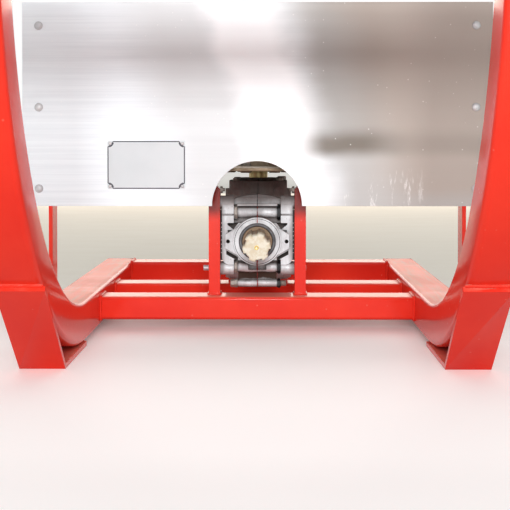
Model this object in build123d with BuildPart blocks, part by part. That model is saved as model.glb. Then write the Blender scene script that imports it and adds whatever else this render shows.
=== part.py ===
from build123d import *
import math
import os

os.makedirs("parts", exist_ok=True)

# All lengths are millimetres and all angles degrees.
# X points to the right, Y to the rear and Z up.
# The origin is on the floor, midway along and across the frame.

# Side rails with their front legs
frame_length = 976
tube_size = 50
tube_wall = 4
tube_corner = 4.5
rail_gap = 408
bend_radius = 370
leg_lean = 2.3
leg_top = 520
plug_head = 4
plug_depth = 18
plug_fit = 0.3

# Feet
foot_thickness = 6
shoe_width = 50
shoe_tail = 10
shoe_knee = 144
shoe_tip = 12
shoe_fit = 0.4
rear_foot_length = 80

# Cross tubes: the front and middle ones are lower than the rails
cross_depth = 50
cross_height = 30
cross_wall = 3
cross_corner = 4
cross_top = 45
front_tube_y = 61
middle_tube_step = 154
rear_tube_inset = 17

# Uprights beside the gearbox
upright_gap = 98
upright_width = 15
upright_depth = 25
upright_top = 188
upright_chamfer = 4

# Gearbox front: heights above the floor, and depths behind the face of its ring
input_z = 115
case_setback = 22
output_setback = 195
ring_radius = 31.5
ear_setback = 1.5
ear_tip = 42
ear_tip_rise = 8.9
ear_root = 24
ear_root_rise = 19.5
ear_hole_reach = 38.5
ear_hole_radius = 2.6
ear_hole_depth = 20
block_setback = 7
block_depth = 40
block_half_width = 46.5
block_bottom = 84
block_top = 176
block_corner = 10
block_crown = 90
block_slope = 13
recess_half_width = 31
recess_depth = 8
upper_recess_bottom = 139
lower_recess_height = 6
pocket_depth = 24
groove_z = 150
groove_width = 2.5
groove_depth = 2
rib_z = 163
rib_thickness = 3
drain_half_width = 12
drain_top = 88
drain_bottom = 77
drain_depth = 5

# Gearbox bolts and bosses
bolt_boss_reach = 26.3
front_boss_setback = 14
lower_boss_setback = 18
upper_boss_z = 152.7
upper_boss_radius = 7.4
middle_boss_z = 80.5
middle_boss_radius = 6.6
lower_boss_z = 58.5
lower_boss_radius = 4.9
rear_boss_radius = 6.5
rear_boss_inset = 2
nut_pocket_rise = 10.5
nut_pocket_depth = 10
side_boss_radius = 9
lower_bolt_z = 79
upper_bolt_z = 166

# Gearbox body and tower
barrel_radius = 38
keel_half_width = 25.6
keel_setback = 21
keel_bottom = 56
tower_radius = 47.5
tower_top = 179
cover_half_width = 41.4
cover_corner = 14
cover_top = 191
boss_top = 195
boss_radius = 26.6
column_step = 26
column_bottom = 150
flank_rib_rise = 4
flank_rib_end = 200
saddle_width = 84
seal_radius = 24.4
seal_depth = 8
seal_recess = 2
bearing_bore_depth = 30
hub_bore_depth = 15
running_gap = 0.5

# Drive shaft stub with six splines
shaft_collar_radius = 19.5
stub_length = 98
spline_radius = 17.5
spline_root_radius = 15
spline_width = 8.6
spline_count = 6
spline_turn = 10
spline_overlap = 2
stub_chamfer = 1.25
lock_groove_place = 38
lock_groove_width = 7

# Spreading disc
hub_radius = 13.5
hub_seat_depth = 14
spigot_radius = 8
disc_z = 208
disc_radius = 200
disc_thickness = 4
cap_radius = 32
cap_sides = 16
cap_height = 24
cap_taper = 35
vane_count = 4
vane_turn = 20
vane_inner = 42
vane_outer = 194
vane_height = 45
vane_foot = 22
vane_thickness = 3

# Front guard
guard_lead = 20
guard_thickness = 2
guard_half_width = 300
guard_bottom = 163.7
guard_height = 260
guard_return = 25
arch_radius = 57.5
bracket_thickness = 5
bracket_height = 24
bracket_flange = 36
bracket_rise = 4
stay_offset = 8
stay_depth = 35
stay_flange = 29
stay_top_drop = 20
stay_lug_inset = 8

# Three-point hitch
hitch_drop = 80
hitch_bar_size = 60
hitch_bar_wall = 5
hitch_bar_corner = 8
hitch_bar_fit = 0.1
hitch_plate_thickness = 12
hitch_plate_size = 92
hitch_shoulder = 341.5
hitch_collar_radius = 18
hitch_collar = 8
hitch_collar_sides = 6
hitch_pin_radius = 11
hitch_pin_length = 55
linchpin_radius = 6
linchpin_place = 44
flange_plate_size = 110
flange_plate_thickness = 8
flange_plate_corner = 12
flange_hole_spacing = 80
flange_hole_radius = 5.5

# Places that follow from the sizes above
rail_x = (rail_gap + tube_size) / 2
rail_z = foot_thickness + tube_size / 2
rail_top = foot_thickness + tube_size
rail_outer = rail_gap / 2 + tube_size
rear_y = frame_length / 2
leg_y = -frame_length / 2 + flange_plate_size / 2
bend_start_y = leg_y + bend_radius
hitch_z = leg_top - hitch_drop
middle_tube_y = front_tube_y + middle_tube_step
rear_tube_y = rear_y - rear_tube_inset - cross_depth
guard_y = front_tube_y - guard_lead
guard_back = guard_y + guard_thickness
guard_top = guard_bottom + guard_height
upright_y = front_tube_y + cross_depth - upright_depth
upright_mid_y = upright_y + upright_depth / 2
upright_outer = upright_gap / 2 + upright_width
ring_y = front_tube_y + case_setback
ear_y = ring_y + ear_setback
block_y = ring_y + block_setback
recess_y = block_y + recess_depth
front_boss_y = ring_y + front_boss_setback
lower_recess_top = block_bottom + lower_recess_height
output_y = front_tube_y + output_setback
case_bottom = cross_top + foot_thickness
disc_top = disc_z + disc_thickness
lean_sin = math.sin(math.radians(leg_lean))
lean_cos = math.cos(math.radians(leg_lean))
leg_top_x = rail_x + (leg_top - rail_z) * lean_sin / lean_cos
sides = (("left", -1), ("right", 1))

# The shoe's sloping part is tangent to the outside of the bend
shoe_knee_y = bend_start_y - shoe_knee
bend_centre_z = rail_z + bend_radius
knee_to_centre = math.hypot(shoe_knee, bend_centre_z)
tangent_radius = bend_radius + tube_size / 2 + shoe_fit + foot_thickness
centre_angle = math.pi - math.atan2(bend_centre_z, shoe_knee)
shoe_slope = centre_angle - math.asin(tangent_radius / knee_to_centre)
shoe_rise = math.sqrt(knee_to_centre**2 - tangent_radius**2) + shoe_tip


def save(piece, name):
    piece.part.label = name
    export_step(piece.part, f"parts/{name}.step")


def box_between(low, high, mode=Mode.ADD):
    size = [high[i] - low[i] for i in range(3)]
    middle = [(high[i] + low[i]) / 2 for i in range(3)]
    with Locations(tuple(middle)):
        Box(*size, mode=mode)


def span(sign, near, far):
    return (near, far) if sign > 0 else (-far, -near)


# Side rails: one square tube each, level at the back and bent up into a leg that leans outwards
for side, sign in sides:
    rail_end_y = rear_y - plug_head
    leg_up = Vector(sign * lean_sin, 0, lean_cos)
    bend_centre = Vector(sign * rail_x, bend_start_y, rail_z) + leg_up * bend_radius
    bend_axis = Axis(bend_centre, Vector(0, -1, 0).cross(leg_up))
    bore_size = tube_size - 2 * tube_wall
    with BuildPart() as rail:
        with BuildSketch(Plane.XZ.offset(-rail_end_y)) as section:
            with Locations((sign * rail_x, rail_z)):
                Rectangle(tube_size, tube_size)
            chamfer(section.vertices(), tube_corner)
            with Locations((sign * rail_x, rail_z)):
                Rectangle(bore_size, bore_size, mode=Mode.SUBTRACT)
        extrude(amount=rail_end_y - bend_start_y)
        revolve(rail.faces().sort_by(Axis.Y)[0], axis=bend_axis, revolution_arc=90)
        leg_end = rail.faces().sort_by(Axis.Z)[-1]
        extrude(leg_end, amount=leg_top - rail_z - bend_radius + tube_size)
        split(bisect_by=Plane.XY.offset(leg_top), keep=Keep.BOTTOM)
    save(rail, f"rail_{side}")

    with BuildPart() as plug:
        with BuildSketch(Plane.XZ.offset(-rear_y)) as plug_face:
            with Locations((sign * rail_x, rail_z)):
                Rectangle(tube_size, tube_size)
            chamfer(plug_face.vertices(), tube_corner)
        extrude(amount=plug_head)
        with BuildSketch(Plane.XZ.offset(-rear_y + plug_head)):
            with Locations((sign * rail_x, rail_z)):
                Rectangle(bore_size - 2 * plug_fit, bore_size - 2 * plug_fit)
        extrude(amount=plug_depth)
    save(plug, f"rail_plug_{side}")

    # Shoe: a bent strap flat on the floor, then sloping up to the outside of the bend
    with BuildPart() as shoe:
        with BuildSketch(Plane.YZ.offset(sign * rail_x)):
            with BuildLine():
                tip = (
                    shoe_knee_y - shoe_rise * math.cos(shoe_slope),
                    shoe_rise * math.sin(shoe_slope),
                )
                tip_top = (
                    tip[0] + foot_thickness * math.sin(shoe_slope),
                    tip[1] + foot_thickness * math.cos(shoe_slope),
                )
                knee_top = (
                    shoe_knee_y + foot_thickness * math.tan(shoe_slope / 2),
                    foot_thickness,
                )
                Polyline(
                    (bend_start_y + shoe_tail, 0),
                    (shoe_knee_y, 0),
                    tip,
                    tip_top,
                    knee_top,
                    (bend_start_y + shoe_tail, foot_thickness),
                    close=True,
                )
            make_face()
        extrude(amount=shoe_width / 2, both=True)
    save(shoe, f"shoe_{side}")

    with BuildPart() as rear_foot:
        x_low, x_high = span(sign, rail_x - shoe_width / 2, rail_x + shoe_width / 2)
        box_between((x_low, rear_y - rear_foot_length, 0), (x_high, rear_y - plug_head, foot_thickness))
    save(rear_foot, f"rear_foot_{side}")

# Cross tubes between the rails
cross_tubes = (
    # name, front face, top, height
    ("front", front_tube_y, cross_top, cross_height),
    ("middle", middle_tube_y, cross_top, cross_height),
    ("rear", rear_tube_y, rail_top, tube_size),
)
for place, face_y, top, height in cross_tubes:
    with BuildPart() as cross_tube:
        with BuildSketch(Plane.YZ):
            with Locations((face_y + cross_depth / 2, top - height / 2)):
                RectangleRounded(cross_depth, height, cross_corner)
                Rectangle(cross_depth - 2 * cross_wall, height - 2 * cross_wall, mode=Mode.SUBTRACT)
        extrude(amount=rail_gap / 2, both=True)
    save(cross_tube, f"cross_tube_{place}")

# Uprights stand on the front cross tube and hold the gearbox by its side bosses
for side, sign in sides:
    with BuildPart() as upright:
        x_low, x_high = span(sign, upright_gap / 2, upright_outer)
        box_between((x_low, upright_y, cross_top), (x_high, upright_y + upright_depth, upright_top))
        chamfer(upright.edges().group_by(Axis.Z)[-1].filter_by(Axis.Y), upright_chamfer)
    save(upright, f"upright_{side}")

# Gearbox saddle on the middle cross tube
with BuildPart() as saddle:
    box_between(
        (-saddle_width / 2, middle_tube_y, cross_top),
        (saddle_width / 2, middle_tube_y + cross_depth, case_bottom),
    )
save(saddle, "gearbox_saddle")

# Gearbox casting, cut at its middle plane into two halves that are bolted together
case_rear_y = output_y + tower_radius
front_bosses = (
    # Y, height and radius of the bosses for the clamping bolts
    (front_boss_y, upper_boss_z, upper_boss_radius),
    (front_boss_y, middle_boss_z, middle_boss_radius),
    (ring_y + lower_boss_setback, lower_boss_z, lower_boss_radius),
)
rear_boss_y = case_rear_y - rear_boss_inset
rear_boss_places = (
    (rear_boss_y, upper_boss_z),
    (rear_boss_y, case_bottom + rear_boss_radius),
)
pockets = (
    # corners of the open pockets beside the right ear, from the input axis
    ((25, 24), (39.4, 24), (39.4, 21.5), (31.5, 15.5)),
    ((33.5, 14.6), (39.4, 14.6), (38.2, 11.8)),
    ((25.5, -26), (41, -17.5), (41, -12), (25.5, -21)),
)
with BuildPart() as case:
    # Front block with an arched top, sloping off there and stepped back in the middle
    with BuildSketch(Plane.XZ.offset(-block_y)):
        with Locations((0, (block_bottom + block_top) / 2)):
            RectangleRounded(2 * block_half_width, block_top - block_bottom, block_corner)
        with Locations((0, block_top - block_crown)):
            Circle(block_crown, mode=Mode.INTERSECT)
    extrude(amount=-block_depth)
    with BuildSketch(Plane.YZ):
        with BuildLine():
            Polyline(
                (block_y, block_top - block_slope),
                (block_y, block_top),
                (block_y + block_slope, block_top),
                close=True,
            )
        make_face()
    extrude(amount=block_half_width, both=True, mode=Mode.SUBTRACT)
    for low_z, high_z in ((upper_recess_bottom, block_top), (block_bottom, lower_recess_top)):
        box_between(
            (-recess_half_width, block_y, low_z),
            (recess_half_width, recess_y, high_z),
            Mode.SUBTRACT,
        )
    # Barrel and keel between the block and the tower, with a rib on each flank
    with BuildSketch(Plane.XZ.offset(-recess_y)):
        with Locations((0, input_z)):
            Circle(barrel_radius)
    extrude(amount=recess_y - output_y)
    box_between(
        (-keel_half_width, ring_y + keel_setback, keel_bottom),
        (keel_half_width, output_y, input_z),
    )
    box_between(
        (-block_half_width, recess_y, input_z - flank_rib_rise),
        (block_half_width, flank_rib_end, input_z + flank_rib_rise),
    )
    # Tower round the output shaft, with its cover, its boss and a column in front
    with BuildSketch(Plane.XY.offset(case_bottom)):
        with Locations((0, output_y)):
            Circle(tower_radius)
    extrude(amount=tower_top - case_bottom)
    with BuildSketch(Plane.XY.offset(tower_top)):
        with Locations((0, output_y)):
            RectangleRounded(2 * cover_half_width, 2 * cover_half_width, cover_corner)
    extrude(amount=cover_top - tower_top)
    with BuildSketch(Plane.XY.offset(column_bottom)):
        with Locations((0, output_y - column_step)):
            Circle(boss_radius)
    extrude(amount=cover_top - column_bottom)
    with BuildSketch(Plane.XY.offset(cover_top)):
        with Locations((0, output_y)):
            Circle(boss_radius)
    extrude(amount=boss_top - cover_top)
    # Ring round the bore and the plate with its two ears
    with BuildSketch(Plane.XZ.offset(-ring_y)):
        with Locations((0, input_z)):
            Circle(ring_radius)
    extrude(amount=ring_y - recess_y)
    with BuildSketch(Plane.XZ.offset(-ear_y)):
        with BuildLine():
            Polyline(
                (ear_tip, input_z + ear_tip_rise),
                (ear_root, input_z + ear_root_rise),
                (-ear_root, input_z + ear_root_rise),
                (-ear_tip, input_z + ear_tip_rise),
                (-ear_tip, input_z - ear_tip_rise),
                (-ear_root, input_z - ear_root_rise),
                (ear_root, input_z - ear_root_rise),
                (ear_tip, input_z - ear_tip_rise),
                close=True,
            )
        make_face()
    extrude(amount=ear_y - block_y)
    # Bosses and rib along X
    for boss_y, boss_z, radius in front_bosses:
        with BuildSketch(Plane.YZ):
            with Locations((boss_y, boss_z)):
                Circle(radius)
        extrude(amount=bolt_boss_reach, both=True)
    with BuildSketch(Plane.YZ):
        with Locations(*rear_boss_places):
            Circle(rear_boss_radius)
    extrude(amount=bolt_boss_reach, both=True)
    box_between(
        (-bolt_boss_reach, block_y, rib_z - rib_thickness / 2),
        (bolt_boss_reach, recess_y, rib_z + rib_thickness / 2),
    )
    for side, sign in sides:
        # Bosses out to the uprights
        with BuildSketch(Plane.YZ.offset(sign * recess_half_width)):
            with Locations((upright_mid_y, lower_bolt_z), (upright_mid_y, upper_bolt_z)):
                Circle(side_boss_radius)
        extrude(amount=sign * (upright_gap / 2 - recess_half_width))
        # Pockets for the nuts, beside the bosses
        x_low, x_high = span(sign, bolt_boss_reach, recess_half_width)
        for boss_z in (upper_boss_z, middle_boss_z):
            box_between(
                (x_low, block_y, boss_z - nut_pocket_rise),
                (x_high, front_boss_y + nut_pocket_depth, boss_z + nut_pocket_rise),
                Mode.SUBTRACT,
            )
        # Groove across the outer block
        x_low, x_high = span(sign, recess_half_width, block_half_width)
        box_between(
            (x_low, block_y, groove_z - groove_width / 2),
            (x_high, block_y + groove_depth, groove_z + groove_width / 2),
            Mode.SUBTRACT,
        )
        # Pockets beside the ear
        for corners in pockets:
            with BuildSketch(Plane.XZ.offset(-ring_y)):
                with BuildLine():
                    Polyline(*[(sign * x, input_z + z) for x, z in corners], close=True)
                make_face()
            extrude(amount=-pocket_depth, mode=Mode.SUBTRACT)
    # Drain notch under the bore
    box_between(
        (-drain_half_width, block_y, drain_bottom),
        (drain_half_width, block_y + drain_depth, drain_top),
        Mode.SUBTRACT,
    )
    # Holes in the ears, and bores for the seal, the input shaft and the output hub
    with BuildSketch(Plane.XZ.offset(-ring_y)):
        with Locations((ear_hole_reach, input_z), (-ear_hole_reach, input_z)):
            Circle(ear_hole_radius)
    extrude(amount=-ear_hole_depth, mode=Mode.SUBTRACT)
    with BuildSketch(Plane.XZ.offset(-ring_y)):
        with Locations((0, input_z)):
            Circle(seal_radius)
    extrude(amount=-bearing_bore_depth, mode=Mode.SUBTRACT)
    with BuildSketch(Plane.XY.offset(boss_top)):
        with Locations((0, output_y)):
            Circle(hub_radius + running_gap)
    extrude(amount=-hub_bore_depth, mode=Mode.SUBTRACT)

for side, sign in sides:
    with BuildPart() as half:
        add(case.part)
        split(bisect_by=Plane.YZ, keep=Keep.TOP if sign > 0 else Keep.BOTTOM)
    save(half, f"gearbox_{side}")

# Shaft seal in the front bore
with BuildPart() as seal:
    with BuildSketch(Plane.XZ.offset(-ring_y - seal_recess)):
        with Locations((0, input_z)):
            Circle(seal_radius)
            Circle(shaft_collar_radius + running_gap, mode=Mode.SUBTRACT)
    extrude(amount=-seal_depth)
save(seal, "input_seal")

# Input shaft: round collar in the seal, splined stub in front, its teeth cut through for the locking balls
with BuildPart() as shaft:
    with BuildSketch(Plane.XZ.offset(-ring_y)):
        with Locations((0, input_z)):
            Circle(shaft_collar_radius)
    extrude(amount=running_gap - bearing_bore_depth)
    with BuildSketch(Plane.XZ.offset(-ring_y)):
        with Locations((0, input_z)):
            Circle(spline_root_radius)
            spline_place = spline_root_radius - spline_overlap
            with PolarLocations(spline_place, spline_count, start_angle=spline_turn):
                Rectangle(2 * (spline_radius - spline_place), spline_width)
        with Locations((0, input_z)):
            Circle(spline_radius, mode=Mode.INTERSECT)
    extrude(amount=stub_length)
    chamfer(shaft.edges().group_by(Axis.Y)[0], stub_chamfer)
    with BuildSketch(Plane.XZ.offset(-ring_y + stub_length - lock_groove_place)):
        with Locations((0, input_z)):
            Circle(spline_radius + spline_overlap)
            Circle(spline_root_radius, mode=Mode.SUBTRACT)
    extrude(amount=-lock_groove_width, mode=Mode.SUBTRACT)
save(shaft, "input_shaft")

# Output hub: a short shaft with a spigot that centres the disc
with BuildPart() as hub:
    with BuildSketch(Plane.XY.offset(disc_z)):
        with Locations((0, output_y)):
            Circle(hub_radius)
    extrude(amount=boss_top - hub_seat_depth - disc_z)
    with BuildSketch(Plane.XY.offset(disc_z)):
        with Locations((0, output_y)):
            Circle(spigot_radius)
    extrude(amount=disc_thickness)
save(hub, "output_hub")

with BuildPart() as disc:
    with BuildSketch(Plane.XY.offset(disc_z)):
        with Locations((0, output_y)):
            Circle(disc_radius)
            Circle(spigot_radius + plug_fit, mode=Mode.SUBTRACT)
    extrude(amount=disc_thickness)
save(disc, "spreading_disc")

# Cap: a many-sided cone over the hub
with BuildPart() as cap:
    with BuildSketch(Plane.XY.offset(disc_top)):
        with Locations((0, output_y)):
            RegularPolygon(cap_radius, cap_sides)
    extrude(amount=cap_height, taper=cap_taper)
save(cap, "disc_cap")

# Vanes: angles of sheet that stand on the disc
for number in range(vane_count):
    angle = math.radians(360 * number / vane_count + vane_turn)
    vane_plane = Plane(
        origin=(0, output_y, disc_top),
        x_dir=(math.cos(angle), math.sin(angle), 0),
        z_dir=(0, 0, 1),
    )
    with BuildPart(vane_plane) as vane:
        box_between((vane_inner, 0, 0), (vane_outer, vane_foot, vane_thickness))
        box_between((vane_inner, 0, 0), (vane_outer, vane_thickness, vane_height))
    save(vane, f"vane_{number + 1}")

# Front guard: one sheet with bent returns and an arch over the drive shaft
with BuildPart() as guard:
    with BuildSketch(Plane.XZ.offset(-guard_y)):
        with Locations((0, guard_bottom + guard_height / 2)):
            Rectangle(2 * guard_half_width, guard_height)
        with Locations((0, guard_bottom)):
            Circle(arch_radius, mode=Mode.SUBTRACT)
    extrude(amount=-guard_thickness)
    for side, sign in sides:
        x_low, x_high = span(sign, guard_half_width - guard_thickness, guard_half_width)
        box_between((x_low, guard_y, guard_bottom), (x_high, guard_y + guard_return, guard_top))
    box_between(
        (-guard_half_width, guard_y, guard_top - guard_thickness),
        (guard_half_width, guard_y + guard_return, guard_top),
    )
save(guard, "guard_plate")

for side, sign in sides:
    # Bracket: an angle from the upright to the back of the guard
    with BuildPart() as bracket:
        bracket_low = guard_bottom + bracket_rise
        bracket_high = bracket_low + bracket_height
        x_low, x_high = span(sign, upright_outer, upright_outer + bracket_thickness)
        box_between(
            (x_low, guard_back, bracket_low),
            (x_high, upright_y + upright_depth, bracket_high),
        )
        x_low, x_high = span(sign, upright_outer, upright_outer + bracket_flange)
        box_between(
            (x_low, guard_back, bracket_low),
            (x_high, guard_back + bracket_thickness, bracket_high),
        )
    save(bracket, f"guard_bracket_{side}")

    # Stay: an angle behind the guard's end with a lug on the rail's outer face
    with BuildPart() as stay:
        stay_x = rail_outer + stay_offset
        stay_top = guard_top - stay_top_drop
        lug_low = foot_thickness + stay_lug_inset
        x_low, x_high = span(sign, stay_x, stay_x + bracket_thickness)
        box_between((x_low, guard_back, lug_low), (x_high, guard_back + stay_depth, stay_top))
        x_low, x_high = span(sign, stay_x, stay_x + stay_flange)
        box_between(
            (x_low, guard_back, bracket_low),
            (x_high, guard_back + bracket_thickness, stay_top),
        )
        x_low, x_high = span(sign, rail_outer, stay_x)
        box_between(
            (x_low, guard_back, lug_low),
            (x_high, guard_back + stay_depth, rail_top - stay_lug_inset),
        )
    save(stay, f"guard_stay_{side}")

# Hitch bar behind the legs, with a plate and a pin at each end
bar_front = leg_y + tube_size / 2 * (1 + lean_sin) + hitch_bar_fit
bar_mid_y = bar_front + hitch_bar_size / 2
bar_half = hitch_shoulder - hitch_collar - hitch_plate_thickness
with BuildPart() as hitch_bar:
    with BuildSketch(Plane.YZ):
        with Locations((bar_mid_y, hitch_z)):
            RectangleRounded(hitch_bar_size, hitch_bar_size, hitch_bar_corner)
            bar_inner = hitch_bar_size - 2 * hitch_bar_wall
            Rectangle(bar_inner, bar_inner, mode=Mode.SUBTRACT)
    extrude(amount=bar_half, both=True)
save(hitch_bar, "hitch_bar")

for side, sign in sides:
    with BuildPart() as plate:
        with BuildSketch(Plane.YZ.offset(sign * (bar_half + hitch_plate_thickness / 2))) as plate_face:
            with Locations((bar_mid_y, hitch_z)):
                Rectangle(hitch_plate_size, hitch_plate_size)
            chamfer(plate_face.vertices(), flange_plate_corner)
        extrude(amount=hitch_plate_thickness / 2, both=True)
    save(plate, f"hitch_plate_{side}")

    with BuildPart() as pin:
        pin_plane = Plane(
            origin=(sign * (bar_half + hitch_plate_thickness), bar_mid_y, hitch_z),
            x_dir=(0, 1, 0),
            z_dir=(sign, 0, 0),
        )
        with BuildSketch(pin_plane):
            RegularPolygon(hitch_collar_radius, hitch_collar_sides)
        extrude(amount=hitch_collar)
        with BuildSketch(pin_plane.offset(hitch_collar)):
            Circle(hitch_pin_radius)
        extrude(amount=hitch_pin_length)
        with BuildSketch(Plane.XY.offset(hitch_z)):
            with Locations((sign * (hitch_shoulder + linchpin_place), bar_mid_y)):
                Circle(linchpin_radius)
        extrude(amount=2 * hitch_pin_radius, both=True, mode=Mode.SUBTRACT)
    save(pin, f"hitch_pin_{side}")

    # Flange on top of each leg for the hopper's frame
    with BuildPart() as leg_flange:
        with BuildSketch(Plane.XY.offset(leg_top)) as flange_face:
            with Locations((sign * leg_top_x, leg_y)):
                Rectangle(flange_plate_size, flange_plate_size)
            chamfer(flange_face.vertices(), flange_plate_corner)
            with Locations((sign * leg_top_x, leg_y)):
                with GridLocations(flange_hole_spacing, flange_hole_spacing, 2, 2):
                    Circle(flange_hole_radius, mode=Mode.SUBTRACT)
        extrude(amount=flange_plate_thickness)
    save(leg_flange, f"leg_flange_{side}")
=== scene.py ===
import math

import bmesh
import bpy
import numpy as np
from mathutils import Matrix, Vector


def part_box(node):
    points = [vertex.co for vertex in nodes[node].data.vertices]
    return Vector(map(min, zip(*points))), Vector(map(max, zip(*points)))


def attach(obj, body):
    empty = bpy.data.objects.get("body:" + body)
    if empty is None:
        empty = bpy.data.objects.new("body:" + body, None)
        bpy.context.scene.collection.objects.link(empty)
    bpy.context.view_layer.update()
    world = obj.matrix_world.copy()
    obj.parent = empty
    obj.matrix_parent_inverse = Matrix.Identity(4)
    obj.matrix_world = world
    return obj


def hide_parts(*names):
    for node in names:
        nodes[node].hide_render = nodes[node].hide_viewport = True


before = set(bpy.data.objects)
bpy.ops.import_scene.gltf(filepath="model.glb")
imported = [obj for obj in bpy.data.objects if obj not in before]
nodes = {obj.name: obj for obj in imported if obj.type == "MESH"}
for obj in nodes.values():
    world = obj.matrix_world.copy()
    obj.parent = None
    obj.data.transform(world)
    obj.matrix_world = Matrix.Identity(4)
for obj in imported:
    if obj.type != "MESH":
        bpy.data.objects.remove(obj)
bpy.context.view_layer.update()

scene = bpy.context.scene
scene.view_settings.view_transform = "Standard"
mm = 0.001
rng = np.random.default_rng(7)
xAxis, yAxis, zAxis = np.eye(3)
cornerSigns = np.array([(1, 1), (-1, 1), (-1, -1), (1, -1)])
closeness = {"double": 1e-6, "sliver": 1e-7}  # metres


def lengths(**values):
    # a dictionary of lengths given in mm, alone or in lists, turned to metres
    return {key: np.array(value) * mm for key, value in values.items()}


# surfaces: a grid of points whose rows are loops

def surface(points, closed=False):
    # one four-sided face for each cell between two rows; closed joins the last row to the first
    rows, columns = points.shape[:2]
    row, column = np.meshgrid(np.arange(rows if closed else rows - 1), np.arange(columns), indexing="ij")
    nextRow, nextColumn = (row + 1) % rows, (column + 1) % columns
    corners = [row * columns + column, row * columns + nextColumn,
               nextRow * columns + nextColumn, nextRow * columns + column]
    return points.reshape(-1, 3), np.stack(corners, -1).reshape(-1, 4)


def unit(vectors):
    # each vector divided by its own length
    vectors = np.asarray(vectors, float)
    return vectors / np.linalg.norm(vectors, axis=-1, keepdims=True)


def fullTurn(steps):
    # equal angles round a circle: 2 pi k / steps
    return np.linspace(0, 2 * math.pi, steps, endpoint=False)


def spokes(axis, turn):
    # unit vectors square to the axis, one for each angle a: first cos a + second sin a
    axis = unit(axis)
    helper = zAxis if abs(axis[2]) < 0.9 else xAxis
    first = unit(np.cross(helper, axis))
    return np.cos(turn)[:, None] * first + np.sin(turn)[:, None] * np.cross(axis, first)


def lathe(profile, origin, axis, steps, closed=False):
    # a point at radius r and height h turns about the axis: origin + h axis + r spoke
    profile = np.asarray(profile, float)
    points = profile[:, None, 0:1] * spokes(axis, fullTurn(steps)) + profile[:, None, 1:2] * unit(axis)
    return surface(points + np.asarray(origin, float), closed)


def hexagon(origin, axis, flats, height, turned=0.0):
    # six-sided head: radius = half the flats / cos(angle from the middle of the flat), held under a limit
    # that rounds the end; each row is (share of the height, limit as a share of half the flats)
    rows = np.array([(0, 0), (0, 1.2), (0.05, 1.2), (0.55, 1.2), (0.75, 1.13), (0.88, 1.06), (0.96, 1),
                     (1, 0.93), (1, 0)])
    turn = fullTurn(48)
    flatRadius = flats / 2 / np.cos((turn + math.pi / 6) % (math.pi / 3) - math.pi / 6)
    radius = np.minimum(flatRadius, flats / 2 * rows[:, 1:])
    points = radius[:, :, None] * spokes(axis, turn + turned) + height * rows[:, :1, None] * unit(axis)
    return surface(points + np.asarray(origin, float))


def circleLoop(radius, steps):
    # radius (cos a, sin a)
    turn = fullTurn(steps)
    return radius * np.stack([np.cos(turn), np.sin(turn)], -1)


def roundedLoop(width, height, radius, arc=6):
    # rectangle with a quarter circle at each corner: corner centre + radius (cos a, sin a)
    turn = np.linspace(0, math.pi / 2, arc + 1) + np.arange(4)[:, None] * math.pi / 2
    bends = radius * np.stack([np.cos(turn), np.sin(turn)], -1)
    centres = cornerSigns * (np.array([width, height]) / 2 - radius)
    return (bends + centres[:, None]).reshape(-1, 2)


def standLoop(loop, plane, place):
    # a flat loop stood square to the axis numbered plane, at that place on it
    return np.insert(loop, plane, place, axis=1)


def resample(path, step, closed=False):
    # points at about equal steps along a broken line, four at least
    path = np.asarray(path, float)
    if closed:
        path = np.vstack([path, path[:1]])
    run = np.concatenate([[0], np.cumsum(np.linalg.norm(np.diff(path, axis=0), axis=1))])
    count = max(4, int(round(run[-1] / step)))
    wanted = np.linspace(0, run[-1], count, endpoint=not closed)
    return np.stack([np.interp(wanted, run, path[:, k]) for k in range(3)], -1)


def sideAndUp(path, normal, closed):
    # side = tangent x normal and up = side x tangent, at each point of the path
    if closed:
        tangent = unit(np.roll(path, -1, 0) - np.roll(path, 1, 0))
    else:
        tangent = unit(np.gradient(path, axis=0))
    side = unit(np.cross(tangent, np.asarray(normal, float)))
    return side, np.cross(side, tangent)


def carry(profile, path, normal, closed=False, scale=None):
    # a profile point (a, b) carried along the path: path point + scale (a side + b up)
    path = np.asarray(path, float)
    side, up = sideAndUp(path, normal, closed)
    size = np.ones(len(path)) if scale is None else scale
    offsets = profile[None, :, 0:1] * side[:, None] + profile[None, :, 1:2] * up[:, None]
    points = path[:, None] + offsets * size[:, None, None]
    if not closed:
        ends = path[:, None].repeat(len(profile), 1)  # an open end shuts onto its path point
        points = np.concatenate([ends[:1], points, ends[-1:]])
    return surface(points, closed)


# lengths in mm, windows and sides as counts, the rest as shares of the radius
bead = {
    "step": 1.1, "pitch": 3.4, "ripple": 0.1, "uneven": 0.22, "unevenWindow": 9,
    "wander": 0.35, "wanderWindow": 15, "endSize": 0.45, "endLength": 4, "sides": 9,
}


def smoothNoise(count, window):
    # running mean of random draws
    return np.convolve(rng.normal(0, 1, count + window - 1), np.ones(window) / window, "valid")


def weldBead(path, normal, radius, closed=False):
    # round cord of radius r (1 + ripple sin(2 pi length / pitch) + noise), thinner towards an open end,
    # along a line that wanders a little to its sides
    points = resample(path, bead["step"] * mm, closed)
    count = len(points)
    waves = max(1, round(count * bead["step"] / bead["pitch"]))
    ripple = bead["ripple"] * np.sin(2 * math.pi * waves * np.arange(count) / count)
    scale = 1 + ripple + bead["uneven"] * smoothNoise(count, bead["unevenWindow"])
    if not closed:
        along = np.arange(count) * bead["step"]
        fade = np.minimum(along, along[::-1]) / bead["endLength"]
        scale = scale * np.clip(bead["endSize"] + fade, bead["endSize"], 1)
    side = sideAndUp(points, normal, closed)[0]
    wander = smoothNoise(count, bead["wanderWindow"]) * bead["wander"] * mm
    points = points + side * wander[:, None]
    return carry(circleLoop(radius, bead["sides"]), points, normal, closed, scale)


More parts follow.
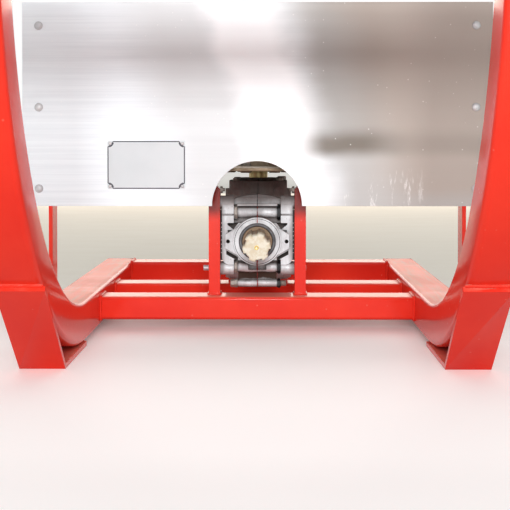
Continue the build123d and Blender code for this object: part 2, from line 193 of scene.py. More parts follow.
def buildMesh(name, shapes):
    # grids joined into one mesh, with doubles merged and faces turned outwards
    points, faces, start = [], [], 0
    for corners, quads in shapes:
        points.append(corners)
        faces.append(quads + start)
        start += len(corners)
    mesh = bpy.data.meshes.new(name)
    mesh.from_pydata(np.concatenate(points).tolist(), [], np.concatenate(faces).tolist())
    shell = bmesh.new()
    shell.from_mesh(mesh)
    bmesh.ops.remove_doubles(shell, verts=shell.verts, dist=closeness["double"])
    bmesh.ops.dissolve_degenerate(shell, edges=shell.edges, dist=closeness["sliver"])
    bmesh.ops.recalc_face_normals(shell, faces=shell.faces)
    shell.to_mesh(mesh)
    shell.free()
    return mesh


def makePiece(name, shapes, material, body="frame", sharp=38):
    mesh = buildMesh(name, shapes)
    mesh.polygons.foreach_set("use_smooth", [True] * len(mesh.polygons))
    mesh.set_sharp_from_angle(angle=math.radians(sharp))
    piece = bpy.data.objects.new(name, mesh)
    scene.collection.objects.link(piece)
    mesh.materials.append(material)
    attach(piece, body)
    return piece


# materials

class Graph:
    # short hand for one node tree
    def __init__(self, tree):
        self.tree = tree

    def add(self, kind, settings=None, **inputs):
        node = self.tree.nodes.new("ShaderNode" + kind)
        for key, value in (settings or {}).items():
            setattr(node, key, value)
        for key, value in inputs.items():
            self.feed(node, key.replace("_", " "), value)
        return node

    def feed(self, node, key, value):
        # the key is a socket's name or number, and the value a number, a colour or another socket
        socket = node.inputs[key]
        if isinstance(value, bpy.types.NodeSocket):
            self.tree.links.new(value, socket)
        else:
            socket.default_value = value

    def maths(self, operation, a, b=0.0, c=0.0):
        node = self.add("Math", {"operation": operation})
        for index, value in enumerate((a, b, c)):
            self.feed(node, index, value)
        return node.outputs[0]

    def product(self, value, *others):
        for other in others:
            value = self.maths("MULTIPLY", value, other)
        return value

    def largest(self, value, *others):
        for other in others:
            value = self.maths("MAXIMUM", value, other)
        return value

    def mixed(self, factor, a, b):
        node = self.add("Mix", {"data_type": "RGBA"})
        for index, value in ((0, factor), (6, a), (7, b)):
            self.feed(node, index, value)
        return node.outputs[2]

    def span(self, value, low, high, toLow=0.0, toHigh=1.0):
        # smooth step from toLow to toHigh, as the value goes from low to high
        node = self.add("MapRange", {"interpolation_type": "SMOOTHSTEP"})
        for index, given in enumerate((value, low, high, toLow, toHigh)):
            self.feed(node, index, given)
        return node.outputs[0]

    def band(self, value, low, full, fade, high, after=0.0):
        # 0 below low, 1 from full to fade, and after beyond high
        return self.product(self.span(value, low, full), self.span(value, fade, high, 1.0, after))

    def noise(self, vector, scale, detail=3.0, rough=0.5):
        node = self.add("TexNoise", Vector=vector, Scale=scale, Detail=detail, Roughness=rough)
        return node.outputs[0]

    def stretched(self, vector, scale):
        return self.add("Mapping", Vector=vector, Scale=scale).outputs[0]

    def parts(self, vector):
        # its x, y and z
        return self.add("SeparateXYZ", Vector=vector).outputs

    def facingUp(self):
        # 1 on a level face that looks up, 0 on an upright one, -1 underneath
        return self.parts(self.add("NewGeometry").outputs["Normal"])[2]


def newGroup(name, output, kind, **inputs):
    # node group that takes a vector and some numbers, and gives one output
    group = bpy.data.node_groups.new(name, "ShaderNodeTree")
    group.interface.new_socket(name="Vector", in_out="INPUT", socket_type="NodeSocketVector")
    for label, value in inputs.items():
        socket = group.interface.new_socket(name=label, in_out="INPUT", socket_type="NodeSocketFloat")
        socket.default_value = value
    group.interface.new_socket(name=output, in_out="OUTPUT", socket_type=kind)
    ends = [group.nodes.new("NodeGroup" + end) for end in ("Input", "Output")]
    return group, Graph(group), ends[0].outputs, ends[1]


def grainGroup():
    # fine relief: a coarse noise plus a share of a fine one, as the height of a bump
    group, g, given, out = newGroup("surfaceGrain", "Normal", "NodeSocketVector", Scale=600.0, Strength=0.2)
    fine = g.noise(given[0], given[1], 2.0)
    coarse = g.noise(given[0], g.product(given[1], 0.13), 2.0)
    height = g.maths("MULTIPLY_ADD", fine, 0.4, coarse)
    g.feed(out, "Normal", g.add("Bump", Distance=0.0004, Height=height, Strength=given[2]).outputs[0])
    return group


def dustGroup():
    # dust lies where a face looks up, in streaks where a slow noise is high
    group, g, given, out = newGroup("settledDust", "Mask", "NodeSocketFloat", Amount=0.4)
    streaks = g.noise(given[0], 42.0, 6.0, 0.65)
    mask = g.product(g.span(g.facingUp(), 0.35, 0.95), g.span(streaks, 0.38, 0.72), given[1])
    g.feed(out, "Mask", mask)
    return group


def patchGroup():
    # slow uneven patches: a noise spread from 0 to 1 over the contrast each side of its middle
    group, g, given, out = newGroup("unevenPatches", "Mask", "NodeSocketFloat", Scale=12.0, Contrast=0.15)
    slow = g.noise(given[0], given[1], 5.0, 0.6)
    g.feed(out, "Mask", g.span(slow, g.maths("SUBTRACT", 0.5, given[2]), g.maths("ADD", 0.5, given[2])))
    return group


def speckGroup():
    # small scattered spots: one where a cell's point is close and its random value is under the share
    group, g, given, out = newGroup("scatteredSpecks", "Mask", "NodeSocketFloat", Scale=90.0, Share=0.1)
    cells = g.add("TexVoronoi", Vector=given[0], Scale=given[1]).outputs
    split = g.add("SeparateColor", Color=cells["Color"])
    chosen = g.maths("LESS_THAN", split.outputs[0], given[2])
    g.feed(out, "Mask", g.product(g.span(cells["Distance"], 0.12, 0.3, 1.0, 0.0), chosen))
    return group


def cornerShadeGroup():
    # one in corners and under other parts, found by ambient occlusion, as painted shade there; zero on open
    # faces
    group, g, given, out = newGroup("paintedCornerShade", "Mask", "NodeSocketFloat", Reach=0.05, Noise=0.3)
    openness = g.add("AmbientOcclusion", {"samples": 8}, Distance=given[1])
    uneven = g.product(g.maths("SUBTRACT", g.noise(given[0], 60.0, 4.0, 0.6), 0.5), given[2])
    shade = g.maths("SUBTRACT", 1.0, g.maths("ADD", openness.outputs["AO"], uneven))
    g.feed(out, "Mask", g.span(shade, 0.12, 0.85))
    return group


groups = {
    "grain": grainGroup(), "dust": dustGroup(), "patches": patchGroup(), "specks": speckGroup(),
    "cornerShade": cornerShadeGroup(),
}


def newMaterial(name, **constants):
    # constants go straight onto the shader's sockets
    material = bpy.data.materials.new(name)
    material.use_nodes = True
    tree = material.node_tree
    tree.nodes.clear()
    g = Graph(tree)
    shader = g.add("BsdfPrincipled", **constants)
    g.add("OutputMaterial", Surface=shader.outputs[0])
    place = g.add("TexCoord").outputs["Object"]
    return material, g, shader, place


def placed(g, name, vector, **values):
    # one of the shared groups, with this material's own values
    return g.add("Group", {"node_tree": groups[name]}, Vector=vector, **values).outputs[0]


def redEnamel():
    # tints, then spans: from and to in metres, with the strengths there where they aren't 0 and 1
    paint = {
        "bright": (0.97, 0.048, 0.022, 1), "deep": (0.86, 0.028, 0.015, 1), "dust": (0.95, 0.52, 0.38, 1),
        "hazeAndSheen": (0.98, 0.58, 0.42, 1), "soil": (0.60, 0.40, 0.30, 1), "under": (0.34, 0.014, 0.009, 1),
        "guardShadow": (0.07, 0.010, 0.008, 1), "guardShadowFoot": (0.144, 0.168), "guardShadowTop": (0.19, 0.2, 1.0, 0.0),
        "guardShadowReach": (0.066, 0.072, 1.0, 0.0), "railEdge": (0.198, 0.203), "soilRise": (0.09, 0.2, 1.0, 0.3),
    }
    material, g, shader, place = newMaterial("redEnamel", Coat_Roughness=0.08, Specular_IOR_Level=0.12)
    patches = placed(g, "patches", place, Scale=7.0, Contrast=0.25)
    dust = placed(g, "dust", place, Amount=0.22)
    specks = placed(g, "specks", place, Scale=190.0, Share=0.03)
    tint = g.mixed(patches, paint["bright"], paint["deep"])
    tint = g.mixed(dust, tint, paint["dust"])
    tint = g.mixed(g.product(specks, 0.15), tint, paint["dust"])
    # painted shadow of the guard: dark red on the uprights, beside the gearbox's shoulders
    axes = g.parts(place)
    wide, rise = g.maths("ABSOLUTE", axes[0]), axes[2]
    wavering = g.maths("MULTIPLY_ADD", g.noise(place, 60.0), 0.012, rise)
    guardShadow = g.product(g.span(wavering, *paint["guardShadowFoot"]), g.span(rise, *paint["guardShadowTop"]),
                     g.span(wide, *paint["guardShadowReach"]), 0.78)
    tint = g.mixed(guardShadow, tint, paint["guardShadow"])
    # level faces are dulled by fine scuffs and keep a thin pale haze, partly real scuffing and partly a
    # painted sheen of light on the tops, and the rails a streaky soil
    up = g.facingUp()
    level = g.span(up, 0.6, 0.95)
    onRails = g.span(wide, *paint["railEdge"])
    across = g.noise(g.stretched(place, (7.0, 60.0, 60.0)), 1.0, 4.0, 0.55)
    along = g.noise(g.stretched(place, (85.0, 7.0, 60.0)), 1.0, 5.0, 0.65)
    hazeAndSheen = g.product(level, g.span(across, 0.3, 0.55, 0.14, 0.26))
    tint = g.mixed(hazeAndSheen, tint, paint["hazeAndSheen"])
    soil = g.product(level, onRails, g.span(along, 0.42, 0.68, 0.0, 0.42), g.span(rise, *paint["soilRise"]))
    tint = g.mixed(soil, tint, paint["soil"])
    # undersides are dull and darker: painted shade under the tubes
    under = g.span(up, -0.75, -0.08, 1.0, 0.0)
    g.feed(shader, "Base Color", g.mixed(g.product(under, 0.28), tint, paint["under"]))
    gloss = g.product(g.span(up, 0.1, 0.55, 0.4, 0.25), g.maths("MULTIPLY_ADD", onRails, -0.75, 1.0))
    g.feed(shader, "Coat Weight", g.product(gloss, g.maths("SUBTRACT", 1.0, under)))
    g.feed(shader, "Roughness", g.maths("ADD", hazeAndSheen, g.maths("MULTIPLY_ADD", dust, 0.5, 0.2)))
    relief = g.span(up, 0.4, 0.9, 0.035, 0.012)
    g.feed(shader, "Normal", placed(g, "grain", place, Scale=300.0, Strength=relief))
    return material


def castAluminium():
    # tints, then spans, as on the enamel, and bands: four places where it starts, is full, fades and ends
    metal = {
        "light": (0.77, 0.81, 0.825, 1), "dark": (0.50, 0.53, 0.54, 1), "grimeAndShade": (0.06, 0.033, 0.022, 1),
        "towerShadeFoot": (0.157, 0.178), "towerShadeFront": (0.12, 0.15, 0.8, 0.87),
        "keelShadeRise": (0.066, 0.070, 0.077, 0.082), "keelShadeSide": (0.0262, 0.028, 1.0, 0.35),
        "hollowShadeRise": (0.163, 0.165, 0.1675, 0.170), "hollowShadeSide": (0.029, 0.0315, 1.0, 0.0),
        "hollowShadeBack": (0.11, 0.12, 0.5, 0.0), "flankSide": (0.0405, 0.0475),
        "flankBack": (0.125, 0.135, 0.5, 0.0),
    }
    material, g, shader, place = newMaterial("castAluminium", Specular_IOR_Level=0.35)
    patches = placed(g, "patches", place, Scale=38.0, Contrast=0.22)
    specks = placed(g, "specks", place, Scale=420.0, Share=0.12)
    stain = placed(g, "patches", g.stretched(place, (1.0, 1.0, 0.35)), Scale=70.0, Contrast=0.08)
    base = g.mixed(g.product(patches, 0.55), metal["light"], metal["dark"])
    # the grime tint darkens the specks and stains as real dirt, and below also serves as the painted shade
    base = g.mixed(g.product(specks, 0.45), base, metal["grimeAndShade"])
    base = g.mixed(g.product(stain, 0.18), base, metal["grimeAndShade"])
    # painted shade: darker in corners, on the tower under the disc, below the middle boss, in the hollow
    # above the shoulders, and on the flanks, which curve away and lose light
    axes = g.parts(place)
    wide, along, rise = g.maths("ABSOLUTE", axes[0]), axes[1], axes[2]
    wavering = g.maths("MULTIPLY_ADD", g.noise(place, 70.0), 0.01, rise)
    # near: ambient occlusion in corners and under other parts, as painted shade
    near = placed(g, "cornerShade", place, Reach=0.018, Noise=0.35)
    tower = g.product(g.span(wavering, *metal["towerShadeFoot"]), g.span(along, *metal["towerShadeFront"]))
    keelShade = g.product(g.band(wavering, *metal["keelShadeRise"]), g.span(wide, *metal["keelShadeSide"]))
    hollowShade = g.product(g.band(rise, *metal["hollowShadeRise"]), g.span(wide, *metal["hollowShadeSide"]),
                       g.span(along, *metal["hollowShadeBack"]))
    flank = g.product(g.span(wide, *metal["flankSide"]), g.span(along, *metal["flankBack"]))
    paintedShade = g.largest(g.product(near, 0.9), tower, keelShade, hollowShade, flank)
    g.feed(shader, "Base Color", g.mixed(paintedShade, base, metal["grimeAndShade"]))
    g.feed(shader, "Metallic", g.maths("MULTIPLY_ADD", paintedShade, -0.2, 0.2))
    g.feed(shader, "Roughness", g.maths("MULTIPLY_ADD", paintedShade, 0.3, g.span(patches, 0.0, 1.0, 0.42, 0.6)))
    g.feed(shader, "Normal", placed(g, "grain", place, Scale=1100.0, Strength=0.3))
    return material


def brushedStainless():
    # tints, then spans, as on the enamel, and bands: four places where it starts, is full, fades and ends
    sheet = {
        "light": (0.895, 0.955, 0.98, 1), "dark": (0.825, 0.885, 0.915, 1), "mark": (1.0, 1.0, 0.98, 1),
        "bright": (0.96, 0.97, 0.97, 1), "dullReflection": (0.66, 0.68, 0.68, 1), "darkReflection": (0.47, 0.465, 0.445, 1),
        "warmReflection": (0.47, 0.375, 0.305, 1), "shade": (0.17, 0.145, 0.115, 1),
        "highlightZone": (-0.035, 0.0, 0.06, 0.10), "dullReflectionZone": (-0.16, -0.07, -0.03, 0.005),
        "darkReflectionZone": (0.055, 0.12), "warmReflectionZone": (0.11, 0.20), "warmReflectionRise": (0.165, 0.19, 0.35, 1.0),
        "shadeRise": (0.226, 0.246, 0.25, 0.275, 0.35), "shadeStart": (0.045, 0.09),
        "shadeEnd": (0.13, 0.20, 0.92, 0.3), "splashZone": (0.09, 0.14, 0.17, 0.24),
        "splashRise": (0.18, 0.22, 1.0, 0.0),
    }
    material, g, shader, place = newMaterial("brushedStainless", Metallic=0.12, Specular_IOR_Level=0.3)
    axes = g.parts(place)
    along, rise = axes[0], axes[2]
    lines = g.noise(g.stretched(place, (5.0, 330.0, 330.0)), 1.0, 4.0, 0.62)
    base = g.mixed(g.span(lines, 0.3, 0.7), sheet["light"], sheet["dark"])
    # painted reflections in zones along the sheet, whose edges lean and waver: a painted highlight brightest
    # over the arch, duller to the left, darker to the right and warm at the end
    drift = g.maths("MULTIPLY_ADD", g.noise(g.stretched(place, (9.0, 9.0, 16.0)), 1.0, 3.0), 0.05, along)
    lean = g.maths("MULTIPLY_ADD", rise, 0.3, g.maths("SUBTRACT", drift, 0.095))
    base = g.mixed(g.product(g.band(lean, *sheet["highlightZone"]), 0.8), base, sheet["bright"])
    base = g.mixed(g.product(g.band(lean, *sheet["dullReflectionZone"]), 0.8), base, sheet["dullReflection"])
    base = g.mixed(g.product(g.span(lean, *sheet["darkReflectionZone"]), 0.9), base, sheet["darkReflection"])
    warmReflection = g.product(g.span(lean, *sheet["warmReflectionZone"]), g.span(rise, *sheet["warmReflectionRise"]), 0.62)
    base = g.mixed(warmReflection, base, sheet["warmReflection"])
    # one soft dark reflection across the top, on the right
    waver = g.maths("MULTIPLY_ADD", g.noise(place, 12.0), 0.012, rise)
    shade = g.product(g.band(waver, *sheet["shadeRise"]), g.span(along, *sheet["shadeStart"]),
                      g.span(along, *sheet["shadeEnd"]))
    base = g.mixed(shade, base, sheet["shade"])
    # pale specks all over, and splashes low on the right
    specks = placed(g, "specks", place, Scale=260.0, Share=0.03)
    splash = g.span(g.noise(g.stretched(place, (140.0, 60.0, 30.0)), 1.0, 5.0, 0.7), 0.56, 0.70)
    splash = g.product(splash, g.band(along, *sheet["splashZone"]), g.span(rise, *sheet["splashRise"]))
    marks = g.largest(g.product(specks, 0.4), g.product(splash, 0.8))
    g.feed(shader, "Base Color", g.mixed(marks, base, sheet["mark"]))
    g.feed(shader, "Roughness", g.maths("MULTIPLY_ADD", lines, 0.16, 0.36))
    g.feed(shader, "Normal", g.add("Bump", Distance=0.0002, Strength=0.05, Height=lines).outputs[0])
    return material


def yellowZinc(name, light, dark, metallic, rough):
    # passivated steel: uneven patches and small dark spots
    material, g, shader, place = newMaterial(name, Metallic=metallic)
    patches = placed(g, "patches", place, Scale=55.0, Contrast=0.25)
    specks = placed(g, "specks", place, Scale=260.0, Share=0.08)
    base = g.mixed(patches, light, dark)
    g.feed(shader, "Base Color", g.mixed(g.product(specks, 0.4), base, (0.16, 0.12, 0.06, 1)))
    g.feed(shader, "Roughness", g.span(patches, 0.0, 1.0, rough, rough + 0.16))
    g.feed(shader, "Normal", placed(g, "grain", place, Scale=1100.0, Strength=0.16))
    return material


def plainFinish(name, light, dark, metallic, rough, scale=60.0, relief=0.2):
    # two tints in uneven patches, with a fine grain
    material, g, shader, place = newMaterial(name, Metallic=metallic)
    patches = placed(g, "patches", place, Scale=scale, Contrast=0.25)
    g.feed(shader, "Base Color", g.mixed(patches, light, dark))
    g.feed(shader, "Roughness", g.span(patches, 0.0, 1.0, rough, rough + 0.12))
    g.feed(shader, "Normal", placed(g, "grain", place, Scale=scale * 14, Strength=relief))
    return material


def splinedSteel():
    # pale dried coating on the splined end, painted darker where the shaft enters the casing, as painted
    # shade inside the bore
    tone = {"pale": (0.85, 0.83, 0.69, 1), "worn": (0.74, 0.68, 0.50, 1), "boreShade": (0.27, 0.19, 0.115, 1)}
    material, g, shader, place = newMaterial("stubSteel", Metallic=0.05, Specular_IOR_Level=0.25)
    patches = placed(g, "patches", place, Scale=160.0, Contrast=0.12)
    # darker with depth along the shaft: painted shade inside the bore
    depth = g.maths("MULTIPLY_ADD", g.noise(place, 90.0), 0.02, g.parts(place)[1])
    deep = g.span(depth, 0.0, 0.045)
    base = g.mixed(patches, tone["pale"], tone["worn"])
    g.feed(shader, "Base Color", g.mixed(deep, base, tone["boreShade"]))
    g.feed(shader, "Roughness", g.span(deep, 0.0, 1.0, 0.55, 0.45))
    g.feed(shader, "Normal", placed(g, "grain", place, Scale=900.0, Strength=0.3))
    return material


paintRed = redEnamel()
castMetal = castAluminium()
stainless = brushedStainless()
zinc = yellowZinc("yellowZinc", (0.74, 0.60, 0.30, 1), (0.50, 0.38, 0.17, 1), 0.75, 0.28)
stubSteel = splinedSteel()
# dark brown zinc on the disc, its cap, vanes and nuts: the darkness is painted shade from above
shadedDiscSteel = yellowZinc("shadedDiscSteel", (0.25, 0.185, 0.115, 1), (0.15, 0.105, 0.065, 1), 0.3, 0.48)
brightBolt = plainFinish("brightBolt", (0.66, 0.66, 0.66, 1), (0.48, 0.48, 0.49, 1), 0.5, 0.42)
dullBolt = plainFinish("dullBolt", (0.40, 0.37, 0.33, 1), (0.25, 0.22, 0.19, 1), 0.3, 0.5)
sealFace = plainFinish("sealFace", (0.20, 0.205, 0.21, 1), (0.10, 0.10, 0.105, 1), 0.2, 0.4, 90.0, 0.2)
brassDot = plainFinish("brassDot", (0.62, 0.46, 0.16, 1), (0.42, 0.30, 0.10, 1), 0.6, 0.35, 400.0)
blackBolt = plainFinish("blackBolt", (0.03, 0.03, 0.032, 1), (0.012, 0.012, 0.013, 1), 0.6, 0.32)
rubber = plainFinish("blackRubber", (0.028, 0.028, 0.03, 1), (0.05, 0.048, 0.045, 1), 0.0, 0.6, 90.0, 0.3)
plastic = plainFinish("blackPlastic", (0.022, 0.022, 0.024, 1), (0.035, 0.035, 0.036, 1), 0.0, 0.42, 50.0)
sealant = plainFinish("redSealant", (0.50, 0.03, 0.018, 1), (0.05, 0.012, 0.01, 1), 0.0, 0.45, 60.0, 0.6)
plateFace = plainFinish("paleLabel", (0.745, 0.80, 0.815, 1), (0.70, 0.76, 0.775, 1), 0.0, 0.5, 18.0, 0.06)
plateInk = plainFinish("darkInk", (0.05, 0.055, 0.07, 1), (0.09, 0.09, 0.11, 1), 0.0, 0.5)
print("materials made")


# CAD nodes: merged, lightly rounded edges and their own finish

nodeFinishes = {
    # node name start: (material, edge rounding in mm)
    "rail_plug": (plastic, 0.8),
    "shoe": (paintRed, 0.7),
    "rear_foot": (paintRed, 0.7),
    "cross_tube": (paintRed, 0.5),
    "upright": (paintRed, 0.9),
    "gearbox_left": (castMetal, 0.9),
    "gearbox_right": (castMetal, 0.9),
    "gearbox_saddle": (paintRed, 0.7),
    "guard_bracket": (paintRed, 0.6),
    "guard_stay": (paintRed, 0.6),
    "hitch_plate": (paintRed, 0.9),
    "hitch_pin": (zinc, 0.6),
    "hitch_bar": (paintRed, 0.5),
    "leg_flange": (paintRed, 0.8),
    "input_seal": (rubber, 0.4),
    "input_shaft": (stubSteel, 0.35),
    "guard_plate": (stainless, 0.4),
    "output_hub": (zinc, 0.4),
    "spreading_disc": (shadedDiscSteel, 0.6),
    "disc_cap": (shadedDiscSteel, 0.6),
    "vane": (shadedDiscSteel, 0.5),
}
nodeEdges = {"merge": 0.01 * mm, "segments": 2, "angle": 38}

for name, node in nodes.items():
    if name.startswith(("rail_left", "rail_right")):
        continue
    key = next(k for k in nodeFinishes if name.startswith(k))
    material, rounding = nodeFinishes[key]
    node.data.materials.clear()
    node.data.materials.append(material)
    weld = node.modifiers.new("merge", "WELD")
    weld.merge_threshold = nodeEdges["merge"]
    bevel = node.modifiers.new("roundEdges", "BEVEL")
    bevel.width = rounding * mm
    bevel.segments = nodeEdges["segments"]
    bevel.limit_method = "ANGLE"
    bevel.angle_limit = math.radians(nodeEdges["angle"])
    bevel.harden_normals = True
print("nodes finished")


# side rails: round-cornered hollow square tube along a level line, an arc and a leg

rails = lengths(
    size=50, wall=4, round=7, x=229, z=31, rear=484, bendStart=-63, bendRadius=370, top=520,
) | {"lean": math.radians(2.3), "arcSteps": 56}


def turnAbout(points, centre, axis, angle):
    # Rodrigues: v cos + (axis x v) sin + axis (axis . v)(1 - cos)
    v = points - centre
    c, s = np.cos(angle)[:, None, None], np.sin(angle)[:, None, None]
    dot = (v @ axis)[..., None]
    return centre + v[None] * c + np.cross(axis, v)[None] * s + axis * dot[None] * (1 - c)


def railStations(sign, size, radius):
    # the section set at the bend's start is moved straight back to the rear end, turned in steps through
    # 90 degrees about the bend's centre, and moved up the leaning leg to a level cut
    loop = roundedLoop(size, size, radius, 7) + (sign * rails["x"], rails["z"])
    start = standLoop(loop, 1, rails["bendStart"])
    legUp = np.array([sign * math.sin(rails["lean"]), 0, math.cos(rails["lean"])])
    centre = np.array([sign * rails["x"], rails["bendStart"], rails["z"]]) + legUp * rails["bendRadius"]
    axis = np.cross(-yAxis, legUp)
    arc = turnAbout(start, centre, axis, np.linspace(0, math.pi / 2, rails["arcSteps"]))
    level = start + yAxis * (rails["rear"] - rails["bendStart"])
    last = arc[-1]
    leg = last + legUp * ((rails["top"] - last[:, 2]) / legUp[2])[:, None]
    return np.concatenate([level[None], arc, leg[None]])


for side, sign in (("Left", -1), ("Right", 1)):
    outer = railStations(sign, rails["size"], rails["round"])
    inner = railStations(sign, rails["size"] - 2 * rails["wall"], rails["round"] - rails["wall"])
    tube = surface(np.concatenate([outer, inner[::-1]]), closed=True)
    piece = makePiece(f"railTube{side}", [tube], paintRed, sharp=50)
    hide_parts(f"rail_{side.lower()}")
print("rails made")


# weld beads: a loop round each tube's end, and a straight line along each plate's edge

welds = lengths(
    tube=1.9, small=1.4,  # bead radii
    margin=1,  # how much larger a loop is than its tube, and where a straight bead stops
    tubeIn=0.8, tubeRound=4.5, uprightUp=0.7, uprightRound=1.5, plateOut=0.5, bar=60, barRound=8,
    flangeDown=0.7, saddleLength=25, footIn=2, footOut=0.6, footUp=4.6, tipUp=0.4, strap=6, bracketOut=0.5,
    lugX=254.6, lugMiddle=(60.5, 31), lugSize=(36, 35), lugRound=3, legIn=0.4, legHigh=59, legRound=4,
) | {"tipSlope": math.radians(39.6)}


def middleOf(corners, plane):
    # middle of a box, on the two axes other than the one numbered plane
    return np.delete(np.mean(corners, axis=0), plane)


def ringBead(plane, place, width, height, radius, middle, size):
    # closed bead along a round-cornered loop, square to the axis numbered plane
    path = standLoop(roundedLoop(width, height, radius, 5) + middle, plane, place)
    return weldBead(path, np.eye(3)[plane], size, closed=True)


def boxBead(box, plane, place, radius, size):
    # closed bead round a box, larger than it by the margin
    width, height = np.delete(np.subtract(box[1], box[0]), plane) + welds["margin"]
    return ringBead(plane, place, width, height, radius, middleOf(box, plane), size)


beads = []
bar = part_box("hitch_bar")
margin = welds["margin"]
barSize, legSize = welds["bar"] + margin, rails["size"] + margin
for place in ("front", "middle", "rear"):
    corner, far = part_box(f"cross_tube_{place}")
    for x in (corner[0] + welds["tubeIn"], far[0] - welds["tubeIn"]):
        beads.append(boxBead((corner, far), 0, x, welds["tubeRound"], welds["tube"]))
for side in ("left", "right"):
    corner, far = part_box(f"upright_{side}")
    beads.append(boxBead((corner, far), 2, corner[2] + welds["uprightUp"], welds["uprightRound"],
                         welds["small"]))
    corner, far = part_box(f"hitch_plate_{side}")
    x = corner[0] - welds["plateOut"] if side == "right" else far[0] + welds["plateOut"]
    beads.append(ringBead(0, x, barSize, barSize, welds["barRound"], middleOf(bar, 0), welds["tube"]))
    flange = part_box(f"leg_flange_{side}")
    beads.append(ringBead(2, flange[0][2] - welds["flangeDown"], legSize, legSize, rails["round"],
                          middleOf(flange, 2), welds["tube"]))
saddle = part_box("gearbox_saddle")
for y in (saddle[0][1] + margin, saddle[1][1] - margin):
    start = np.array([saddle[0][0], y, saddle[0][2] + margin])
    beads.append(weldBead([start, start + xAxis * welds["saddleLength"]], zAxis, welds["small"]))
for side, sign in (("left", -1), ("right", 1)):
    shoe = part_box(f"shoe_{side}")
    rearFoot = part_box(f"rear_foot_{side}")
    inner, outer = shoe[0][0] + welds["footIn"], shoe[1][0] - welds["footIn"]
    tipY = shoe[0][1] + welds["strap"] * math.sin(welds["tipSlope"]) - welds["footOut"]
    for y, z in ((shoe[1][1] + welds["footOut"], welds["footUp"]), (tipY, shoe[1][2] + welds["tipUp"]),
                 (rearFoot[0][1] - welds["footOut"], welds["footUp"])):
        beads.append(weldBead([(inner, y, z), (outer, y, z)], zAxis, welds["tube"]))
    # bracket on the upright, stay lug on the rail, leg on the hitch bar
    post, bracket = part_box(f"upright_{side}"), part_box(f"guard_bracket_{side}")
    x = (post[1][0] if sign > 0 else post[0][0]) + sign * welds["bracketOut"]
    z = bracket[0][2]
    line = [(x, post[0][1] + margin, z), (x, post[1][1] - margin, z)]
    beads.append(weldBead(line, zAxis, welds["small"]))
    beads.append(ringBead(0, sign * welds["lugX"], *welds["lugSize"], welds["lugRound"],
                          welds["lugMiddle"], welds["small"]))
    barZ = bar[0][2] + welds["bar"] / 2
    legX = sign * (rails["x"] + (barZ - rails["z"]) * math.tan(rails["lean"]))
    beads.append(ringBead(1, bar[0][1] - welds["legIn"], legSize, welds["legHigh"], welds["legRound"],
                          (legX, barZ), welds["tube"]))
makePiece("weldBeads", beads, paintRed, sharp=80)
print("welds made")


# gearbox fasteners, dark pads standing in for shade, seam and seal

gearbox = lengths(
    front=83, axisZ=115, bossReach=26.3, frontBoss=97, lowerBoss=101, upperZ=152.7, middleZ=80.5,
    lowerZ=58.5, rearBoss=301.5, rearLowerZ=57.5,
)
bossBolt = lengths(
    washer=0.9, bore=3, nutHeight=3.6, headHeight=3.4, tailStart=4, pitch=1.1, endHeight=5.5,
) | {"washerShare": 0.54, "headShare": 0.9, "headTurn": 0.3, "endShare": 2.3, "endTurn": 0.2}


def rod(start, axis, radius, length, chamfer):
    # round bar: radius from end to end, less the chamfer at both ends
    profile = [(0, 0), (radius - chamfer, 0), (radius, chamfer), (radius, length - chamfer),
               (radius - chamfer, length), (0, length)]
    return lathe(profile, start, axis, 28)


def threadedRod(start, axis, length, radius, pitch):
    # rings of thread: radius - depth (1 - cos(2 pi height / pitch)), four rings to a pitch
    height = np.linspace(0, length, int(length / pitch * 4))
    depth = 0.27 * pitch
    ring = radius - depth * (1 - np.cos(2 * math.pi * height / pitch))
    profile = np.concatenate([[(0, 0)], np.stack([ring, height], -1), [(0, length)]])
    return lathe(profile, start, axis, 24)


def washer(start, axis, thickness, inner, outer):
    # flat ring between two radii, its outer edges chamfered
    edge = 0.2 * mm
    profile = [(inner, 0), (outer - edge, 0), (outer, edge), (outer, thickness - edge),
               (outer - edge, thickness), (inner, thickness)]
    return lathe(profile, start, axis, 36, closed=True)


def headOnWasher(place, axis, ring, flats, height, turned=0.0):
    # a washer of (thickness, inner radius, outer radius), and a six-sided head standing on it
    return [washer(place, axis, *ring), hexagon(place + axis * ring[0], axis, flats, height, turned)]


darkNuts, paleBolts = [], []
for y, z, flats, rodRadius, tail in (
    (gearbox["frontBoss"], gearbox["upperZ"], 18.6 * mm, 3.6 * mm, 0),
    (gearbox["frontBoss"], gearbox["middleZ"], 16 * mm, 3.6 * mm, 0),
    (gearbox["lowerBoss"], gearbox["lowerZ"], 11 * mm, 3.9 * mm, 8 * mm),
    (gearbox["rearBoss"], gearbox["upperZ"], 12 * mm, 3.4 * mm, 4 * mm),
    (gearbox["rearBoss"], gearbox["rearLowerZ"], 10 * mm, 2.9 * mm, 4 * mm),
):
    right, left = np.array([gearbox["bossReach"], y, z]), np.array([-gearbox["bossReach"], y, z])
    ring = (bossBolt["washer"], bossBolt["bore"], flats * bossBolt["washerShare"])
    darkNuts += headOnWasher(right, xAxis, ring, flats, bossBolt["nutHeight"])
    paleBolts += headOnWasher(left, -xAxis, ring, flats * bossBolt["headShare"], bossBolt["headHeight"],
                              bossBolt["headTurn"])
    if tail:
        offset = xAxis * bossBolt["tailStart"]
        paleBolts.append(threadedRod(right + offset, xAxis, tail, rodRadius, bossBolt["pitch"]))
        paleBolts.append(hexagon(left - offset, -xAxis, rodRadius * bossBolt["endShare"],
                                 bossBolt["endHeight"], bossBolt["endTurn"]))
makePiece("gearboxNuts", darkNuts, blackBolt)
makePiece("gearboxBolts", paleBolts, dullBolt)

